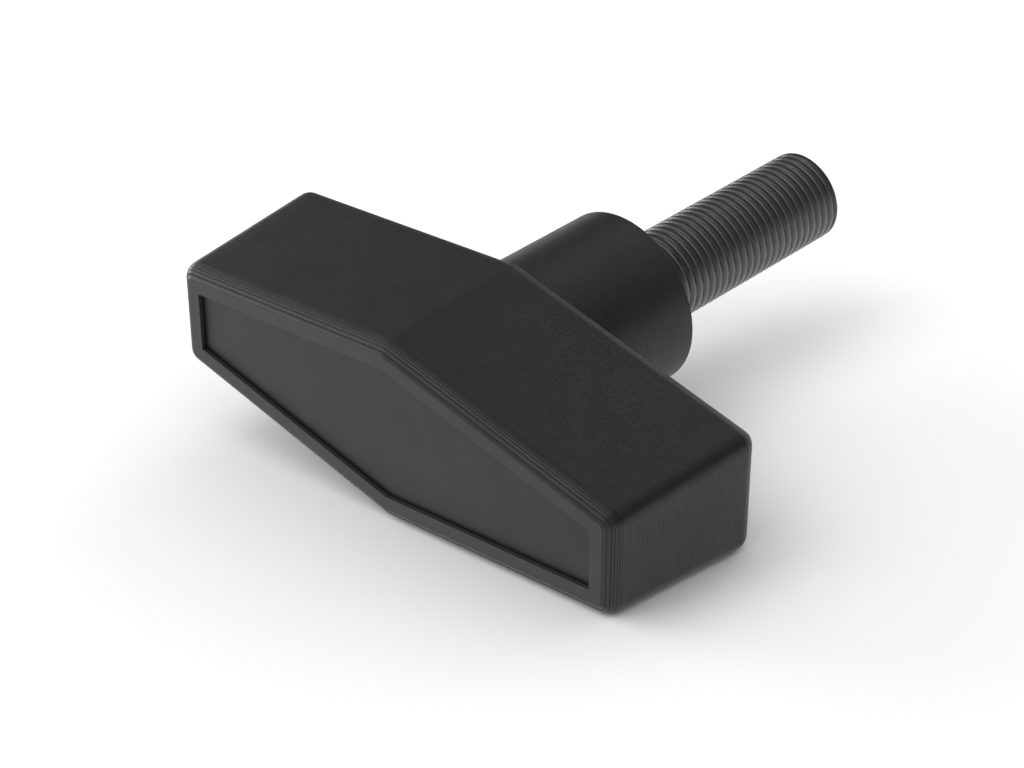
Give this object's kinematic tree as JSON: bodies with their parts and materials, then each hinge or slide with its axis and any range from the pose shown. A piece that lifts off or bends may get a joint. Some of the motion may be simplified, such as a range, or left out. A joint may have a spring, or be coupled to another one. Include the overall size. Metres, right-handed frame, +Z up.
{
  "type": "t-handle wing screw",
  "caption": "T-shaped thumb bar with a shallow front recess, a round hub behind it and a fine-threaded stud, turned by hand to clamp drum hardware.",
  "frame": {"origin": "middle of the lower right facet of the bar, which is what the screw lies on", "axes": "+Z up from the surface it lies on, stud towards +Y and rising by the bar's draft of 3.8 degrees, front of the bar towards -Y"},
  "size_m": [0.0505, 0.0504, 0.018],
  "materials": {
    "dyed_nylon": "black dyed nylon built in fine layers across the stud's line, semi-matt"
  },
  "bodies": {
    "root": {"wing_screw": "dyed_nylon"}
  },
  "joints": []
}
